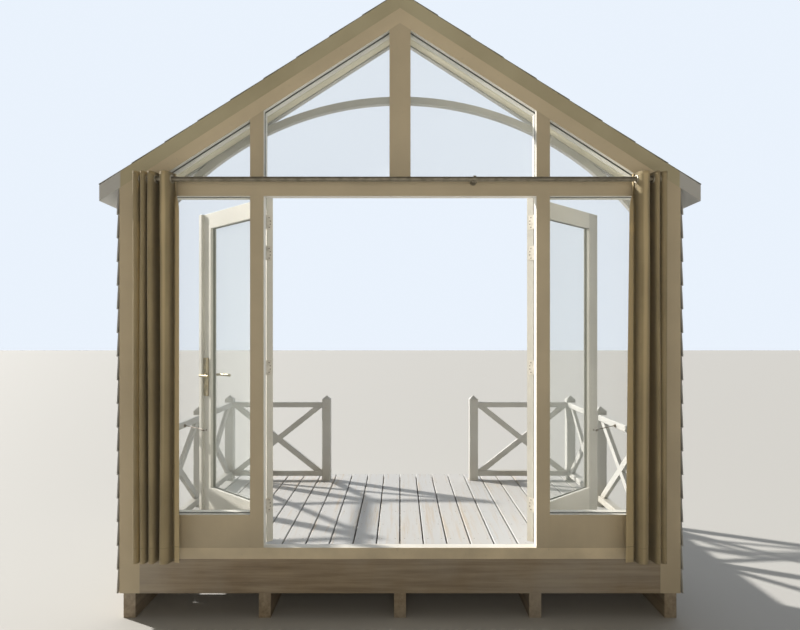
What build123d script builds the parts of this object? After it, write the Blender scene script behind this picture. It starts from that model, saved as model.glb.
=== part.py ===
from build123d import *

import math
import os

# Glazed gable front of a timber beach house, with its veranda.
# Millimetres. +X is right seen from the room, +Y goes out to the beach, +Z is up.
# The origin is on the ground, under the middle of the gable frame's depth.

# How far a cut runs past the face it starts from
overrun = 1

# Base and deck
bearer_width = 71
bearer_height = 146
bearers_each_side = 2
joist_width = 45
joist_height = 146
joist_count = 8
board_width = 145
board_thickness = 28
board_gap = 9
board_edge = 3
deck_front = 2303
deck_gap = 10
floor_step = 30

# Gable frame, heights above the room floor
frame_depth = 114
half_room = 1550
ridge_height = 3280
eaves_height = 2285
rafter_face = 75
member_face = 80
king_face = 125
sill_height = 66
side_light_width = 577.5
door_head_rebate = 25
transom_bottom = 2161
transom_top = 2261
side_panel_top = 262

# Glazing
rebate = 15
glass_cover = 12
unit_thickness = 24
inner_stop = 33
bead_setback = 5

# Doors
leaf_thickness = 45
leaf_gap = 5
leaf_open_angle = 135
stile_width = 115
top_rail_height = 105
bottom_rail_height = 212
leaf_glass_thickness = 20
leaf_glass_recess = 18
leaf_bead_setback = 2
hinge_stand = 8
meeting_gap = 5

# Astragal on the left leaf
astragal_width = 40
astragal_thickness = 20
astragal_lip = 17
astragal_chamfer = 4

# Butt hinges, heights above the leaf's foot
hinge_heights = (228, 1076, 1782, 1972)
hinge_length = 89
flap_thickness = 3
flap_width = 32
flap_clearance = 1
knuckle_radius = 6.5
pin_radius = 3
pin_clearance = 0.1
knuckle_gap = 1

# Lock on the left leaf
lever_height = 1050
plate_above = 122
plate_below = 146
plate_width = 64
plate_thickness = 8
plate_corner = 8
cylinder_drop = 72
cylinder_radius = 8.5
cylinder_tail = 16
cylinder_tail_radius = 5
cylinder_proud = 4
spindle_radius = 6
lever_radius = 9
lever_clearance = 0.1
lever_stand = 50
lever_length = 135
lever_bend = 20
rose_radius = 19
rose_thickness = 5

# Bolt keeps for the right leaf
keep_middle = 72
keep_length = 66
keep_width = 20
keep_thickness = 3
keep_slot = 14
keep_slot_length = 33

# Hold-open hooks, one for each leaf, reaching from the side rail to an eye on the leaf
hook_height = 664
hook_stand = 30
hook_radius = 3
hook_bend = 5
hook_tip = 12
hook_clearance = 1
eye_ring_radius = 7
eye_wire_radius = 2
eye_ring_half_height = 2.5
eye_foot_radius = 6
eye_foot_thickness = 2
staple_width = 30
staple_height = 22
staple_thickness = 3
boss_size = 12
boss_depth = 9

# Wall ends, roof and verge
wall_thickness = 120
verge = 246
roof_thickness = 80
eaves_overhang = 120
barge_thickness = 40
barge_drop = 16
barge_rise = 12
arch_radius = 2025
arch_depth = 45
arch_bite = 9
arch_lap = 70

# Railing
post_size = 80
post_height = 790
tip_height = 33
tip_flat = 6
gate_post = 690
corner_post_out = 50
post_near_face = 2035
middle_post_near = 1160
rail_width = 60
rail_height = 48
top_rail_top = 730
low_rail_bottom = 40
brace_width = 50
brace_thickness = 28
post_chamfer = 5
rail_chamfer = 5

# Curtain pole and curtains
pole_radius = 14
pole_height = 2241
pole_stand = 80
pole_end_gap = 10
middle_bracket = 435
end_bracket_inset = 15
bracket_plate_thickness = 6
bracket_arm = 12
bracket_ring = 20
bracket_ring_width = 16
curtain_bracket_gap = 20
curtain_width = 235
curtain_pleats = 5
curtain_half_depth = 55
curtain_thickness = 6
fold_radius = 7.5
curtain_header = 40
curtain_foot = 12
curtain_clearance = 0.3

# Levels and places worked out from the sizes
deck_top = bearer_height + joist_height + board_thickness
floor_top = deck_top + floor_step
door_half_opening = half_room - 2 * member_face - side_light_width
inner_face = -frame_depth / 2
outer_face = frame_depth / 2
slope = (ridge_height - eaves_height) / half_room
pitch_angle = math.atan(slope)
pitch_cosine = math.cos(pitch_angle)
rafter_drop = rafter_face / pitch_cosine
glass_back = inner_face + inner_stop
glass_front = glass_back + unit_thickness
post_outer = door_half_opening + member_face
jamb_inner = half_room - member_face
wall_outer = half_room + wall_thickness
verge_face = outer_face + verge
roof_half_width = wall_outer + eaves_overhang
roof_rise = roof_thickness / pitch_cosine
leaf_inner = outer_face - leaf_thickness
hinge_x = door_half_opening + rebate - leaf_gap / 2
hinge_y = outer_face + hinge_stand
leaf_foot = floor_top + sill_height - rebate + leaf_gap
leaf_top = floor_top + transom_bottom + door_head_rebate - leaf_gap
leaf_near = leaf_gap / 2
leaf_far = hinge_x - meeting_gap / 2
leaf_front = -hinge_stand
leaf_back = leaf_front - leaf_thickness
stile_near = leaf_near + stile_width
stile_far = leaf_far - stile_width
leaf_glass_bottom = leaf_foot + bottom_rail_height
leaf_glass_top = leaf_top - top_rail_height
leaf_glass_front = leaf_front - leaf_glass_recess
leaf_glass_back = leaf_glass_front - leaf_glass_thickness
lock_middle = (stile_far + leaf_far) / 2
lever_level = floor_top + lever_height
pole_y = inner_face - pole_stand
pole_level = floor_top + pole_height
pole_half_length = half_room - pole_end_gap
end_bracket = pole_half_length - end_bracket_inset
curtain_outer = end_bracket - curtain_bracket_gap
curtain_inner = curtain_outer - curtain_width
bearer_spacing = (half_room + wall_thickness / 2) / bearers_each_side
corner_post = half_room + corner_post_out
board_pitch = board_width + board_gap
boards_each_side = math.ceil((corner_post + post_size / 2 + board_gap / 2) / board_pitch)
barge_low = -barge_drop / pitch_cosine
arch_centre = ridge_height + barge_low - (arch_radius - arch_bite) / pitch_cosine
hook_level = floor_top + hook_height
hook_out = leaf_front + hook_stand
rail_face = corner_post - rail_width / 2
leaf_turn = math.radians(leaf_open_angle)
staple_x = rail_face - staple_thickness - boss_depth
staple_along = (hinge_x + hook_out * math.sin(leaf_turn) - staple_x) / math.cos(leaf_turn)


def ceiling(x):
    """Height of the ceiling plane, which is the rafters' top, at a distance from the ridge."""
    return floor_top + ridge_height - slope * abs(x)


def rafter_underside(x):
    """Height of the rafters' underside at a distance from the ridge."""
    return ceiling(x) - rafter_drop


def bar(x, y, z, mode=Mode.ADD):
    """A squared timber between two limits along each axis."""
    middle = ((x[0] + x[1]) / 2, (y[0] + y[1]) / 2, (z[0] + z[1]) / 2)
    with Locations(middle):
        Box(abs(x[1] - x[0]), abs(y[1] - y[0]), abs(z[1] - z[0]), mode=mode)


def upright_outline(points, back, front, grow=0, mode=Mode.ADD):
    """An outline drawn in X and Z, run from one depth to another."""
    with BuildSketch(Plane.XZ.offset(-front)) as outline:
        Polygon(*points, align=None)
        if grow:
            offset(amount=grow, kind=Kind.INTERSECTION)
    extrude(outline.sketch, amount=front - back, mode=mode)


def mirrored(points):
    """The same outline on the left side."""
    return [(-x, z) for x, z in reversed(points)]


def both_sides(points):
    """An outline on the right and its copy on the left."""
    return [points, mirrored(points)]


# Clear openings of the fixed lights, right-hand side
side_light = [
    (post_outer, floor_top + side_panel_top),
    (jamb_inner, floor_top + side_panel_top),
    (jamb_inner, floor_top + transom_bottom),
    (post_outer, floor_top + transom_bottom),
]
inner_gable_light = [
    (king_face / 2, floor_top + transom_top),
    (door_half_opening, floor_top + transom_top),
    (door_half_opening, rafter_underside(door_half_opening)),
    (king_face / 2, rafter_underside(king_face / 2)),
]
rafter_foot = (ridge_height - transom_top - rafter_drop) / slope
outer_gable_light = [
    (post_outer, floor_top + transom_top),
    (rafter_foot, floor_top + transom_top),
    (post_outer, rafter_underside(post_outer)),
]
lights = [
    outline
    for light in (side_light, inner_gable_light, outer_gable_light)
    for outline in both_sides(light)
]


def cut_glazing_rebates(outlines):
    """Cut the step that the glass sits in, open to the outside."""
    for outline in outlines:
        upright_outline(outline, glass_back, outer_face + overrun, grow=rebate, mode=Mode.SUBTRACT)


# Ground bearers
with BuildPart() as ground_bearers:
    for place in range(-bearers_each_side, bearers_each_side + 1):
        middle_x = place * bearer_spacing
        bar(
            (middle_x - bearer_width / 2, middle_x + bearer_width / 2),
            (inner_face, deck_front),
            (0, bearer_height),
        )
ground_bearers.part.label = "ground_bearers"

# Deck joists, shortened between the wall ends
deck_half_width = boards_each_side * board_pitch - board_gap / 2
joist_first = outer_face + deck_gap + joist_width / 2
joist_pitch = (deck_front - joist_width / 2 - joist_first) / (joist_count - 1)
with BuildPart() as deck_joists:
    for number in range(joist_count):
        middle_y = joist_first + number * joist_pitch
        beside_wall = middle_y - joist_width / 2 < verge_face + deck_gap
        reach = half_room - deck_gap if beside_wall else deck_half_width
        bar(
            (-reach, reach),
            (middle_y - joist_width / 2, middle_y + joist_width / 2),
            (bearer_height, bearer_height + joist_height),
        )
deck_joists.part.label = "deck_joists"

# Deck boards, run out from the sill, with a gap on the centre line
with BuildPart() as deck_boards:
    for number in range(boards_each_side):
        near = board_gap / 2 + number * board_pitch
        far = near + board_width
        beside_wall = far > half_room - deck_gap
        start = verge_face + deck_gap if beside_wall else outer_face + deck_gap
        for side in (-1, 1):
            bar(
                (side * near, side * far),
                (start, deck_front),
                (deck_top - board_thickness, deck_top),
            )
    top_edges = deck_boards.faces().filter_by(Axis.Z).group_by(Axis.Z)[-1].edges()
    chamfer(top_edges.filter_by(Axis.Y), board_edge)
deck_boards.part.label = "deck_boards"

# Floor beam under the sill
with BuildPart() as floor_beam:
    bar((-half_room, half_room), (inner_face, outer_face), (bearer_height, floor_top))
floor_beam.part.label = "floor_beam"

# Sill, with the step that the doors close against
door_rebate = [
    (-door_half_opening - rebate, floor_top + sill_height - rebate),
    (door_half_opening + rebate, floor_top + sill_height - rebate),
    (door_half_opening + rebate, floor_top + transom_bottom + door_head_rebate),
    (-door_half_opening - rebate, floor_top + transom_bottom + door_head_rebate),
]


def cut_door_rebate():
    """Cut the step round the doors, open to the outside."""
    upright_outline(door_rebate, leaf_inner - leaf_gap, outer_face + overrun, mode=Mode.SUBTRACT)


keep_y = (leaf_inner + outer_face) / 2


def cut_keep_seat(level):
    """Let the bolt keep into the rebate at a level."""
    bar(
        (keep_middle - keep_length / 2, keep_middle + keep_length / 2),
        (keep_y - keep_width / 2, keep_y + keep_width / 2),
        (level - keep_thickness, level + keep_thickness),
        mode=Mode.SUBTRACT,
    )


sill_rebate_level = floor_top + sill_height - rebate
head_rebate_level = floor_top + transom_bottom + door_head_rebate
with BuildPart() as sill:
    bar((-half_room, half_room), (inner_face, outer_face), (floor_top, floor_top + sill_height))
    cut_door_rebate()
    cut_keep_seat(sill_rebate_level)
sill.part.label = "sill"

# Jambs against the wall ends
with BuildPart() as jambs:
    for side in (-1, 1):
        bar(
            (side * jamb_inner, side * half_room),
            (inner_face, outer_face),
            (floor_top + sill_height, floor_top + transom_bottom),
        )
    cut_glazing_rebates(both_sides(side_light))
jambs.part.label = "jambs"


def cut_flap_seats():
    """Let the fixed hinge flaps into the door posts."""
    for side in (-1, 1):
        for height in hinge_heights:
            level = leaf_foot + height
            bar(
                (
                    side * (hinge_x + flap_clearance),
                    side * (hinge_x + flap_clearance + flap_thickness),
                ),
                (outer_face - flap_width, outer_face + overrun),
                (level - hinge_length / 2, level + hinge_length / 2),
                mode=Mode.SUBTRACT,
            )


# Door posts
with BuildPart() as door_posts:
    for side in (-1, 1):
        bar(
            (side * door_half_opening, side * post_outer),
            (inner_face, outer_face),
            (floor_top + sill_height, floor_top + transom_bottom),
        )
    cut_door_rebate()
    cut_glazing_rebates(both_sides(side_light))
    cut_flap_seats()
door_posts.part.label = "door_posts"

# Transom over doors and sidelights
with BuildPart() as transom:
    bar(
        (-half_room, half_room),
        (inner_face, outer_face),
        (floor_top + transom_bottom, floor_top + transom_top),
    )
    cut_door_rebate()
    cut_glazing_rebates(lights)
    cut_keep_seat(head_rebate_level)
transom.part.label = "transom"

# Panels under the sidelights
with BuildPart() as side_panels:
    for side in (-1, 1):
        bar(
            (side * post_outer, side * jamb_inner),
            (inner_face, outer_face),
            (floor_top + sill_height, floor_top + side_panel_top),
        )
    cut_glazing_rebates(both_sides(side_light))
side_panels.part.label = "side_panels"

# King mullion under the ridge
king_outline = [
    (-king_face / 2, floor_top + transom_top),
    (king_face / 2, floor_top + transom_top),
    (king_face / 2, rafter_underside(king_face / 2)),
    (0, rafter_underside(0)),
    (-king_face / 2, rafter_underside(king_face / 2)),
]
with BuildPart() as king_mullion:
    upright_outline(king_outline, inner_face, outer_face)
    cut_glazing_rebates(both_sides(inner_gable_light))
king_mullion.part.label = "king_mullion"

# Mullions over the door posts
gable_mullion_outline = [
    (door_half_opening, floor_top + transom_top),
    (post_outer, floor_top + transom_top),
    (post_outer, rafter_underside(post_outer)),
    (door_half_opening, rafter_underside(door_half_opening)),
]
with BuildPart() as gable_mullions:
    for outline in both_sides(gable_mullion_outline):
        upright_outline(outline, inner_face, outer_face)
    cut_glazing_rebates(both_sides(inner_gable_light) + both_sides(outer_gable_light))
gable_mullions.part.label = "gable_mullions"

# Rafters, mitred at the ridge
rafter_outline = [
    (0, ceiling(0)),
    (0, rafter_underside(0)),
    (rafter_foot, floor_top + transom_top),
    (half_room, floor_top + transom_top),
    (half_room, ceiling(half_room)),
]
with BuildPart() as right_rafter:
    upright_outline(rafter_outline, inner_face, outer_face)
    cut_glazing_rebates([inner_gable_light, outer_gable_light])
right_rafter.part.label = "right_rafter"

with BuildPart() as left_rafter:
    mirror(right_rafter.part, about=Plane.YZ)
left_rafter.part.label = "left_rafter"

# Fixed glass and the beads that hold it
with BuildPart() as side_glass:
    for outline in both_sides(side_light):
        upright_outline(outline, glass_back, glass_front, grow=glass_cover)
side_glass.part.label = "side_glass"

with BuildPart() as gable_glass:
    for outline in both_sides(inner_gable_light) + both_sides(outer_gable_light):
        upright_outline(outline, glass_back, glass_front, grow=glass_cover)
gable_glass.part.label = "gable_glass"

with BuildPart() as glazing_beads:
    for outline in lights:
        upright_outline(outline, glass_front, outer_face - bead_setback, grow=rebate)
    for outline in lights:
        upright_outline(outline, glass_front, outer_face, mode=Mode.SUBTRACT)
glazing_beads.part.label = "glazing_beads"

# Wall ends, the stubs of the side walls
wall_outline = [
    (half_room, bearer_height),
    (wall_outer, bearer_height),
    (wall_outer, ceiling(wall_outer)),
    (half_room, ceiling(half_room)),
]
with BuildPart() as right_wall_end:
    upright_outline(wall_outline, inner_face, verge_face)
right_wall_end.part.label = "right_wall_end"

with BuildPart() as left_wall_end:
    mirror(right_wall_end.part, about=Plane.YZ)
left_wall_end.part.label = "left_wall_end"

# Roof panels
roof_outline = [
    (0, ceiling(0)),
    (roof_half_width, ceiling(roof_half_width)),
    (roof_half_width, ceiling(roof_half_width) + roof_rise),
    (0, ceiling(0) + roof_rise),
]
with BuildPart() as right_roof_panel:
    upright_outline(roof_outline, inner_face, verge_face)
right_roof_panel.part.label = "right_roof_panel"

with BuildPart() as left_roof_panel:
    mirror(right_roof_panel.part, about=Plane.YZ)
left_roof_panel.part.label = "left_roof_panel"

# Bargeboards on the verge
barge_high = roof_rise + barge_rise
barge_front = verge_face + barge_thickness
barge_outline = [
    (0, ceiling(0) + barge_low),
    (roof_half_width, ceiling(roof_half_width) + barge_low),
    (roof_half_width, ceiling(roof_half_width) + barge_high),
    (0, ceiling(0) + barge_high),
]
with BuildPart() as right_bargeboard:
    upright_outline(barge_outline, verge_face, barge_front)
right_bargeboard.part.label = "right_bargeboard"

with BuildPart() as left_bargeboard:
    mirror(right_bargeboard.part, about=Plane.YZ)
left_bargeboard.part.label = "left_bargeboard"

# Arched rib under the bargeboards
arch_half_span = half_room + arch_lap
under_barges = [
    (0, ceiling(0) + barge_low),
    (-arch_half_span, ceiling(arch_half_span) + barge_low),
    (-arch_half_span, floor_top + arch_centre),
    (arch_half_span, floor_top + arch_centre),
    (arch_half_span, ceiling(arch_half_span) + barge_low),
]
with BuildPart() as arch:
    with BuildSketch(Plane.XZ.offset(-barge_front)) as arch_outline:
        with Locations((0, floor_top + arch_centre)):
            Circle(arch_radius)
            Circle(arch_radius - arch_depth, mode=Mode.SUBTRACT)
        Polygon(*under_barges, align=None, mode=Mode.INTERSECT)
    extrude(amount=barge_thickness)
arch.part.label = "arch"

# Veranda posts with pointed heads
post_places = [
    (side * across, along + post_size / 2)
    for side in (-1, 1)
    for across, along in (
        (gate_post, post_near_face),
        (corner_post, post_near_face),
        (corner_post, middle_post_near),
    )
]
post_shoulder = deck_top + post_height - tip_height
tip_slope = math.degrees(math.atan((post_size / 2 - tip_flat / 2) / tip_height))
with BuildPart() as veranda_posts:
    with BuildSketch(Plane.XY.offset(deck_top)):
        with Locations(*post_places):
            Rectangle(post_size, post_size)
    extrude(amount=post_height - tip_height)
    with BuildSketch(Plane.XY.offset(post_shoulder)):
        with Locations(*post_places):
            Rectangle(post_size, post_size)
    extrude(amount=tip_height, taper=tip_slope)
    chamfer(veranda_posts.edges().filter_by(Axis.Z), post_chamfer)
veranda_posts.part.label = "veranda_posts"

# Crossed railing panels
top_rail_level = (deck_top + top_rail_top - rail_height, deck_top + top_rail_top)
low_rail_level = (deck_top + low_rail_bottom, deck_top + low_rail_bottom + rail_height)


def railing_panel(plane, length):
    """Two rails and a diagonal cross on a plane whose X runs along the panel and Y is up."""
    bottom = low_rail_level[0]
    top = top_rail_level[1]
    clear_bottom = low_rail_level[1]
    clear_top = top_rail_level[0]
    clear_height = clear_top - clear_bottom
    diagonal = math.hypot(length, clear_height)
    # The inner edge of each brace runs into the corner between post and rail
    turn = math.degrees(math.atan2(clear_height, length) + math.asin(brace_width / diagonal))
    reach = diagonal + 2 * brace_width
    across = Plane(origin=plane.origin, x_dir=plane.y_dir, z_dir=plane.x_dir)
    with BuildSketch(across) as rails:
        with Locations((bottom + rail_height / 2, 0), (top - rail_height / 2, 0)):
            Rectangle(rail_height, rail_width)
        chamfer(rails.vertices(), rail_chamfer)
    extrude(rails.sketch, amount=length)
    with BuildSketch(plane.offset(-brace_thickness / 2)) as braces:
        with Locations((length / 2, (clear_bottom + clear_top) / 2)):
            Rectangle(reach, brace_width, rotation=turn)
            Rectangle(reach, brace_width, rotation=-turn)
            Rectangle(length, clear_height + rail_height, mode=Mode.INTERSECT)
    extrude(braces.sketch, amount=brace_thickness)


front_rail_y = post_near_face + post_size / 2
front_panel_start = gate_post + post_size / 2
front_panel_length = corner_post - gate_post - post_size
with BuildPart() as right_front_railing:
    railing_panel(
        Plane(origin=(front_panel_start, front_rail_y, 0), x_dir=(1, 0, 0), z_dir=(0, -1, 0)),
        front_panel_length,
    )
right_front_railing.part.label = "right_front_railing"

with BuildPart() as left_front_railing:
    mirror(right_front_railing.part, about=Plane.YZ)
left_front_railing.part.label = "left_front_railing"

outer_bay = (middle_post_near + post_size, post_near_face)
inner_bay = (verge_face, middle_post_near)
with BuildPart() as right_side_railing:
    for start, end in (inner_bay, outer_bay):
        railing_panel(
            Plane(origin=(corner_post, start, 0), x_dir=(0, 1, 0), z_dir=(1, 0, 0)),
            end - start,
        )
right_side_railing.part.label = "right_side_railing"

with BuildPart() as left_side_railing:
    mirror(right_side_railing.part, about=Plane.YZ)
left_side_railing.part.label = "left_side_railing"

# Hinges: each has two fixed knuckles with the pin, and one on the leaf
segment = (hinge_length - 2 * knuckle_gap) / 3


def knuckle(x, y, bottom, height):
    """One barrel of a hinge."""
    with BuildSketch(Plane.XY.offset(bottom)) as ring:
        with Locations((x, y)):
            Circle(knuckle_radius)
    extrude(ring.sketch, amount=height)


with BuildPart() as frame_hinges:
    for side in (-1, 1):
        flap_x = (
            side * (hinge_x + flap_clearance),
            side * (hinge_x + flap_clearance + flap_thickness),
        )
        for height in hinge_heights:
            level = leaf_foot + height
            foot = level - hinge_length / 2
            bar(flap_x, (outer_face - flap_width, outer_face), (foot, foot + hinge_length))
            for bottom in (foot, foot + hinge_length - segment):
                knuckle(side * hinge_x, hinge_y, bottom, segment)
                bar(flap_x, (outer_face, hinge_y), (bottom, bottom + segment))
            with BuildSketch(Plane.XY.offset(foot)) as pin:
                with Locations((side * hinge_x, hinge_y)):
                    Circle(pin_radius)
            extrude(pin.sketch, amount=hinge_length)
frame_hinges.part.label = "frame_hinges"

# Bolt keeps in the head and the sill
with BuildPart() as bolt_keeps:
    for level in (
        sill_rebate_level - keep_thickness,
        head_rebate_level,
    ):
        with BuildSketch(Plane.XY.offset(level)) as keep:
            with Locations((keep_middle, keep_y)):
                SlotOverall(keep_length, keep_width)
                SlotOverall(keep_slot_length, keep_slot, mode=Mode.SUBTRACT)
        extrude(keep.sketch, amount=keep_thickness)
bolt_keeps.part.label = "bolt_keeps"

# Curtain pole on its brackets
with BuildPart() as curtain_pole:
    with BuildSketch(Plane.YZ.offset(-pole_half_length)):
        with Locations((pole_y, pole_level)):
            Circle(pole_radius)
    extrude(amount=2 * pole_half_length)
    for across in (-end_bracket, middle_bracket, end_bracket):
        with BuildSketch(Plane.YZ.offset(across - bracket_ring_width / 2)) as ring:
            with Locations((pole_y, pole_level)):
                Circle(bracket_ring)
        extrude(ring.sketch, amount=bracket_ring_width)
        bar(
            (across - bracket_arm / 2, across + bracket_arm / 2),
            (pole_y, inner_face - bracket_plate_thickness),
            (pole_level - bracket_arm / 2, pole_level + bracket_arm / 2),
        )
        with BuildSketch(Plane.XZ.offset(-inner_face)) as rose:
            with Locations((across, pole_level)):
                Circle(bracket_ring)
        extrude(rose.sketch, amount=bracket_plate_thickness)
curtain_pole.part.label = "curtain_pole"

# Curtains drawn back to the sides, in folds, with the pole through them
pleat_length = (curtain_outer - curtain_inner) / curtain_pleats
fold_line = [
    (
        curtain_inner + step * pleat_length / 2,
        pole_y + curtain_half_depth * (1 if step % 2 else -1),
    )
    for step in range(2 * curtain_pleats + 1)
]
with BuildPart() as right_curtain:
    with BuildSketch(Plane.XY.offset(floor_top + curtain_foot)) as folds:
        with BuildLine():
            FilletPolyline(*fold_line, radius=fold_radius)
        trace(line_width=curtain_thickness)
    extrude(amount=pole_height + curtain_header - curtain_foot)
    with BuildSketch(Plane.YZ.offset(curtain_inner - curtain_half_depth)) as passage:
        with Locations((pole_y, pole_level)):
            Circle(pole_radius + curtain_clearance)
    extrude(
        amount=curtain_outer - curtain_inner + 2 * curtain_half_depth,
        mode=Mode.SUBTRACT,
    )
right_curtain.part.label = "right_curtain"

with BuildPart() as left_curtain:
    mirror(right_curtain.part, about=Plane.YZ)
left_curtain.part.label = "left_curtain"


# Door leaves. A leaf's outline is drawn from its hinge line, in its own frame:
# first axis along the leaf from the hinge, second axis out through its outer face.
def leaf_plane(side, bottom):
    """The level plane of an open leaf; side is -1 for the left leaf."""
    along = (-side * math.cos(leaf_turn), math.sin(leaf_turn), 0)
    return Plane(origin=(side * hinge_x, hinge_y, bottom), x_dir=along, z_dir=(0, 0, 1))


def leaf_bar(side, along, out, height, mode=Mode.ADD):
    """A squared piece of a leaf between limits along it, out of it and in height."""
    flip = -side
    with BuildSketch(leaf_plane(side, height[0])) as outline:
        corners = [
            (along[0], flip * out[0]),
            (along[1], flip * out[0]),
            (along[1], flip * out[1]),
            (along[0], flip * out[1]),
        ]
        Polygon(*corners, align=None)
    extrude(outline.sketch, amount=height[1] - height[0], mode=mode)


def cut_leaf_rebate(side):
    """Cut the step for the leaf's glass, open to the room side."""
    leaf_bar(
        side,
        (stile_near - rebate, stile_far + rebate),
        (leaf_back - overrun, leaf_glass_front),
        (leaf_glass_bottom - rebate, leaf_glass_top + rebate),
        mode=Mode.SUBTRACT,
    )


def add_stiles(side):
    """The two uprights of a leaf, with the hinge seats cut."""
    for along in ((leaf_near, stile_near), (stile_far, leaf_far)):
        leaf_bar(side, along, (leaf_back, leaf_front), (leaf_foot, leaf_top))
    cut_leaf_rebate(side)
    for height in hinge_heights:
        level = leaf_foot + height
        leaf_bar(
            side,
            (leaf_near - overrun, flap_clearance + flap_thickness),
            (leaf_front - flap_width, leaf_front + overrun),
            (level - hinge_length / 2, level + hinge_length / 2),
            mode=Mode.SUBTRACT,
        )


def add_rails(side):
    """The top and bottom rails of a leaf."""
    leaf_bar(
        side, (stile_near, stile_far), (leaf_back, leaf_front), (leaf_foot, leaf_glass_bottom)
    )
    leaf_bar(side, (stile_near, stile_far), (leaf_back, leaf_front), (leaf_glass_top, leaf_top))
    cut_leaf_rebate(side)


def add_leaf_glass(side):
    """The glass of a leaf."""
    leaf_bar(
        side,
        (stile_near - glass_cover, stile_far + glass_cover),
        (leaf_glass_back, leaf_glass_front),
        (leaf_glass_bottom - glass_cover, leaf_glass_top + glass_cover),
    )


def add_leaf_beads(side):
    """The beads that hold a leaf's glass, on the room side."""
    depth = (leaf_back + leaf_bead_setback, leaf_glass_back)
    leaf_bar(
        side,
        (stile_near - rebate, stile_far + rebate),
        depth,
        (leaf_glass_bottom - rebate, leaf_glass_top + rebate),
    )
    leaf_bar(
        side,
        (stile_near, stile_far),
        depth,
        (leaf_glass_bottom, leaf_glass_top),
        mode=Mode.SUBTRACT,
    )


def add_leaf_hinges(side):
    """The leaf's hinge flaps, each with its bored middle knuckle."""
    flap = (flap_clearance, flap_clearance + flap_thickness)
    for height in hinge_heights:
        level = leaf_foot + height
        leaf_bar(
            side,
            flap,
            (leaf_front - flap_width, leaf_front),
            (level - hinge_length / 2, level + hinge_length / 2),
        )
        knuckle(side * hinge_x, hinge_y, level - segment / 2, segment)
        leaf_bar(side, flap, (leaf_front, 0), (level - segment / 2, level + segment / 2))
        with BuildSketch(Plane.XY.offset(level - segment / 2)) as bore:
            with Locations((side * hinge_x, hinge_y)):
                Circle(pin_radius + pin_clearance)
        extrude(bore.sketch, amount=segment, mode=Mode.SUBTRACT)


def lock_plane(side, out):
    """An upright plane along a leaf at the lever: first axis up, normal out of the leaf."""
    level_plane = leaf_plane(side, lever_level)
    return Plane(
        origin=level_plane.from_local_coords((lock_middle, -side * out, 0)),
        x_dir=(0, 0, 1),
        z_dir=level_plane.y_dir * -side,
    )


def lock_bore(side, radius, out, mode=Mode.SUBTRACT):
    """A round passage or rod through the leaf at the lever."""
    with BuildSketch(lock_plane(side, out[0])) as hole:
        Circle(radius)
    extrude(hole.sketch, amount=out[1] - out[0], mode=mode)


plate_outer = leaf_front + plate_thickness
plate_inner = leaf_back - plate_thickness
rose_outer = plate_outer + rose_thickness
rose_inner = plate_inner - rose_thickness

# Left leaf
left = -1
with BuildPart() as left_door_stiles:
    add_stiles(left)
    lock_bore(left, spindle_radius + lever_clearance, (leaf_back - overrun, leaf_front + overrun))
left_door_stiles.part.label = "left_door_stiles"

with BuildPart() as left_door_rails:
    add_rails(left)
left_door_rails.part.label = "left_door_rails"

with BuildPart() as left_door_glass:
    add_leaf_glass(left)
left_door_glass.part.label = "left_door_glass"

with BuildPart() as left_door_beads:
    add_leaf_beads(left)
left_door_beads.part.label = "left_door_beads"

with BuildPart() as left_door_hinges:
    add_leaf_hinges(left)
left_door_hinges.part.label = "left_door_hinges"

# Astragal: a strip on the left leaf's outer face whose lip covers the meeting gap
astragal_near = leaf_far + astragal_lip - astragal_width
with BuildPart() as left_door_astragal:
    leaf_bar(
        left,
        (astragal_near, leaf_far),
        (leaf_front, leaf_front + astragal_thickness),
        (leaf_foot, leaf_top),
    )
    leaf_bar(
        left,
        (leaf_far, leaf_far + astragal_lip),
        (leaf_front + leaf_gap, leaf_front + astragal_thickness),
        (leaf_foot, leaf_top),
    )
    outward = Axis((0, 0, 0), lock_plane(left, 0).z_dir)
    upright_edges = left_door_astragal.edges().filter_by(Axis.Z)
    chamfer(upright_edges.group_by(outward)[-1], astragal_chamfer)
left_door_astragal.part.label = "left_door_astragal"

with BuildPart() as left_lock_plates:
    for face, outward in ((leaf_front, 1), (leaf_back, -1)):
        with BuildSketch(lock_plane(left, face)) as plate:
            with Locations(((plate_above - plate_below) / 2, 0)):
                RectangleRounded(plate_above + plate_below, plate_width, plate_corner)
        extrude(plate.sketch, amount=outward * plate_thickness)
        with BuildSketch(lock_plane(left, face)) as rose:
            Circle(rose_radius)
        extrude(rose.sketch, amount=outward * (plate_thickness + rose_thickness))
        with BuildSketch(lock_plane(left, face)) as cylinder:
            with Locations((-cylinder_drop, 0)):
                Circle(cylinder_radius)
            with Locations((-cylinder_drop - cylinder_tail, 0)):
                Circle(cylinder_tail_radius)
            make_hull()
        extrude(cylinder.sketch, amount=outward * (plate_thickness + cylinder_proud))
    lock_bore(left, lever_radius + lever_clearance, (rose_inner - overrun, rose_outer + overrun))
left_lock_plates.part.label = "left_lock_plates"

# Lever handles on both faces, joined by the spindle
lever_frame = leaf_plane(left, lever_level)


def lever_point(along, out):
    """A point at the lever's height in the leaf's frame."""
    return lever_frame.from_local_coords((along, -left * out, 0))


with BuildPart() as left_door_lever:
    lock_bore(left, spindle_radius, (plate_inner, plate_outer), mode=Mode.ADD)
    for face, grip in (
        (leaf_front, plate_outer + lever_stand),
        (leaf_back, plate_inner - lever_stand),
    ):
        with BuildLine() as lever_path:
            FilletPolyline(
                lever_point(lock_middle, face),
                lever_point(lock_middle, grip),
                lever_point(lock_middle - lever_length, grip),
                radius=lever_bend,
            )
        with BuildSketch(Plane(origin=lever_path.line @ 0, z_dir=lever_path.line % 0)) as section:
            Circle(lever_radius)
        sweep(section.sketch, path=lever_path.line)
left_door_lever.part.label = "left_door_lever"



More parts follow.
